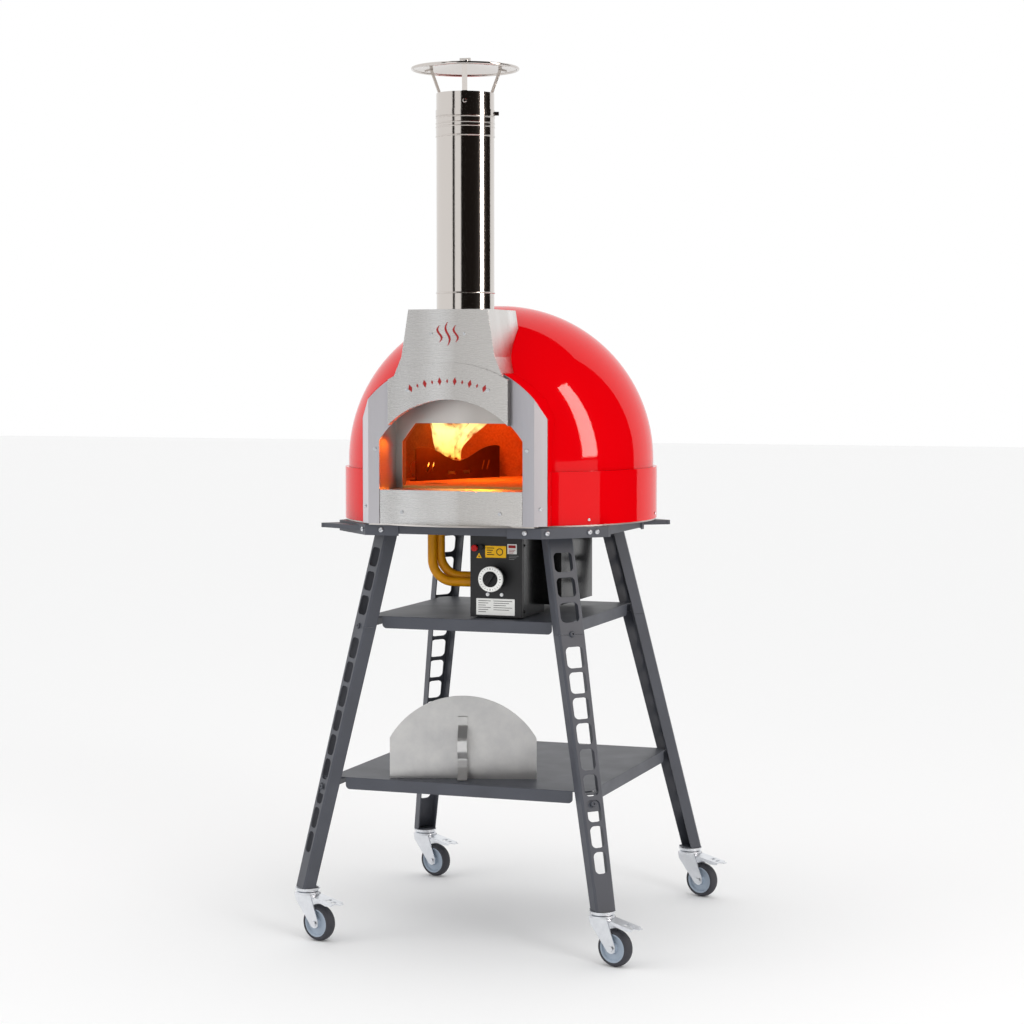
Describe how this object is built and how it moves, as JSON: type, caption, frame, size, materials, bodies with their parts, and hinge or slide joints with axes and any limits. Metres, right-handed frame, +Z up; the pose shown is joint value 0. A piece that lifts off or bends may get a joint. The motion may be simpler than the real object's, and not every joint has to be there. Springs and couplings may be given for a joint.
{
  "type": "countertop pizza oven",
  "caption": "Gas-fired domed pizza oven with hood and flue on a slotted-leg wheeled stand with shelves, control box and a lift-off half-moon door.",
  "frame": {"origin": "on the floor, under the vertical axis of the dome", "axes": "+Z up, the oven mouth faces -Y, +X to the right of a cook facing the mouth"},
  "size_m": [1.0045, 0.9681, 2.396],
  "materials": {
    "red_enamel": "gloss",
    "galvanised": "satin",
    "insulation_board": "matte",
    "firebrick": "matte",
    "refractory": "matte",
    "ceramic_fibre": "matte",
    "liner_stainless": "satin",
    "brushed_stainless": "satin",
    "polished_stainless": "polished",
    "dark_powder_coat": "satin",
    "black_panel": "satin",
    "black_gloss_case": "gloss",
    "cast_valve": "satin",
    "black_knob": "satin",
    "white_dial": "satin",
    "red_button": "gloss",
    "panel_trim": "satin",
    "yellow_hose": "satin",
    "door_steel": "satin",
    "zinc_screws": "satin",
    "zinc_steel": "satin",
    "wheel_nylon": "satin",
    "tyre_rubber": "matte"
  },
  "bodies": {
    "oven": {"arch_plate": "brushed_stainless", "base_ring": "red_enamel", "burner": "liner_stainless", "burner_guard": "liner_stainless", "cap_straps": "polished_stainless", "caster_heads": "zinc_steel", "chamber_dome": "refractory", "clamp_band": "polished_stainless", "control_box": "black_gloss_case", "control_panel": "black_panel", "corner_plates": "dark_powder_coat", "dome_shell": "red_enamel", "fasteners": "zinc_screws", "floor_board": "insulation_board", "floor_pan": "galvanised", "flue_pipe": "polished_stainless", "front_frame": "brushed_stainless", "gas_hoses": "yellow_hose", "gas_valve": "cast_valve", "hearth_tiles": "firebrick", "hood": "brushed_stainless", "insulation_blanket": "ceramic_fibre", "lower_leg_front_left": "dark_powder_coat", "lower_leg_front_right": "dark_powder_coat", "lower_leg_rear_left": "dark_powder_coat", "lower_leg_rear_right": "dark_powder_coat", "lower_shelf": "dark_powder_coat", "mid_shelf": "dark_powder_coat", "mouth_liner": "liner_stainless", "panel_fittings": "panel_trim", "rain_cap": "polished_stainless", "shelf_brackets": "dark_powder_coat", "sill_panel": "brushed_stainless", "stand_tray": "dark_powder_coat", "threshold": "liner_stainless", "upper_leg_front_left": "dark_powder_coat", "upper_leg_front_right": "dark_powder_coat", "upper_leg_rear_left": "dark_powder_coat", "upper_leg_rear_right": "dark_powder_coat"},
    "caster_front_left": {"caster_fork_front_left": "zinc_steel"},
    "wheel_front_left": {"wheel_front_left": "wheel_nylon", "tyre_front_left": "tyre_rubber"},
    "pedal_front_left": {"brake_pedal_front_left": "zinc_steel"},
    "caster_front_right": {"caster_fork_front_right": "zinc_steel"},
    "wheel_front_right": {"wheel_front_right": "wheel_nylon", "tyre_front_right": "tyre_rubber"},
    "pedal_front_right": {"brake_pedal_front_right": "zinc_steel"},
    "caster_rear_left": {"caster_fork_rear_left": "zinc_steel"},
    "wheel_rear_left": {"wheel_rear_left": "wheel_nylon", "tyre_rear_left": "tyre_rubber"},
    "pedal_rear_left": {"brake_pedal_rear_left": "zinc_steel"},
    "caster_rear_right": {"caster_fork_rear_right": "zinc_steel"},
    "wheel_rear_right": {"wheel_rear_right": "wheel_nylon", "tyre_rear_right": "tyre_rubber"},
    "pedal_rear_right": {"brake_pedal_rear_right": "zinc_steel"},
    "knob": {"control_knob": "black_knob", "dial_ring": "white_dial"},
    "button": {"reset_button": "red_button"},
    "door": {"door_plate": "door_steel", "door_handle": "door_steel"}
  },
  "joints": [
    {"name": "swivel_front_left", "type": "hinge", "parent": "oven", "child": "caster_front_left", "pos_m": [-0.42438, -0.39458, 0.1316], "axis": [0, 0, 1], "continuous": true},
    {"name": "roll_front_left", "type": "hinge", "parent": "caster_front_left", "child": "wheel_front_left", "pos_m": [-0.38443, -0.40756, 0.05], "axis": [0.309, 0.9511, 0], "continuous": true},
    {"name": "brake_front_left", "type": "hinge", "parent": "caster_front_left", "child": "pedal_front_left", "pos_m": [-0.39197, -0.40511, 0.11952], "axis": [0.309, 0.9511, 0], "range_deg": [0, 8]},
    {"name": "swivel_front_right", "type": "hinge", "parent": "oven", "child": "caster_front_right", "pos_m": [0.42438, -0.39458, 0.1316], "axis": [0, 0, 1], "continuous": true},
    {"name": "roll_front_right", "type": "hinge", "parent": "caster_front_right", "child": "wheel_front_right", "pos_m": [0.46432, -0.40756, 0.05], "axis": [0.309, 0.9511, 0], "continuous": true},
    {"name": "brake_front_right", "type": "hinge", "parent": "caster_front_right", "child": "pedal_front_right", "pos_m": [0.45678, -0.40511, 0.11952], "axis": [0.309, 0.9511, 0], "range_deg": [0, 8]},
    {"name": "swivel_rear_left", "type": "hinge", "parent": "oven", "child": "caster_rear_left", "pos_m": [-0.42438, 0.48398, 0.1316], "axis": [0, 0, 1], "continuous": true},
    {"name": "roll_rear_left", "type": "hinge", "parent": "caster_rear_left", "child": "wheel_rear_left", "pos_m": [-0.38443, 0.471, 0.05], "axis": [0.309, 0.9511, 0], "continuous": true},
    {"name": "brake_rear_left", "type": "hinge", "parent": "caster_rear_left", "child": "pedal_rear_left", "pos_m": [-0.39197, 0.47345, 0.11952], "axis": [0.309, 0.9511, 0], "range_deg": [0, 8]},
    {"name": "swivel_rear_right", "type": "hinge", "parent": "oven", "child": "caster_rear_right", "pos_m": [0.42438, 0.48398, 0.1316], "axis": [0, 0, 1], "continuous": true},
    {"name": "roll_rear_right", "type": "hinge", "parent": "caster_rear_right", "child": "wheel_rear_right", "pos_m": [0.46432, 0.471, 0.05], "axis": [0.309, 0.9511, 0], "continuous": true},
    {"name": "brake_rear_right", "type": "hinge", "parent": "caster_rear_right", "child": "pedal_rear_right", "pos_m": [0.45678, 0.47345, 0.11952], "axis": [0.309, 0.9511, 0], "range_deg": [0, 8]},
    {"name": "knob_turn", "type": "hinge", "parent": "oven", "child": "knob", "pos_m": [0.073, -0.245, 0.998], "axis": [0, 1, 0], "range_deg": [-90, 180]},
    {"name": "button_press", "type": "slide", "parent": "oven", "child": "button", "axis": [0, 1, 0], "range_m": [0, 0.0045], "stiffness_N_per_m": 300},
    {"name": "door_lift", "type": "slide", "parent": "oven", "child": "door", "axis": [0, 0, 1], "range_m": [0, 0.12]}
  ]
}
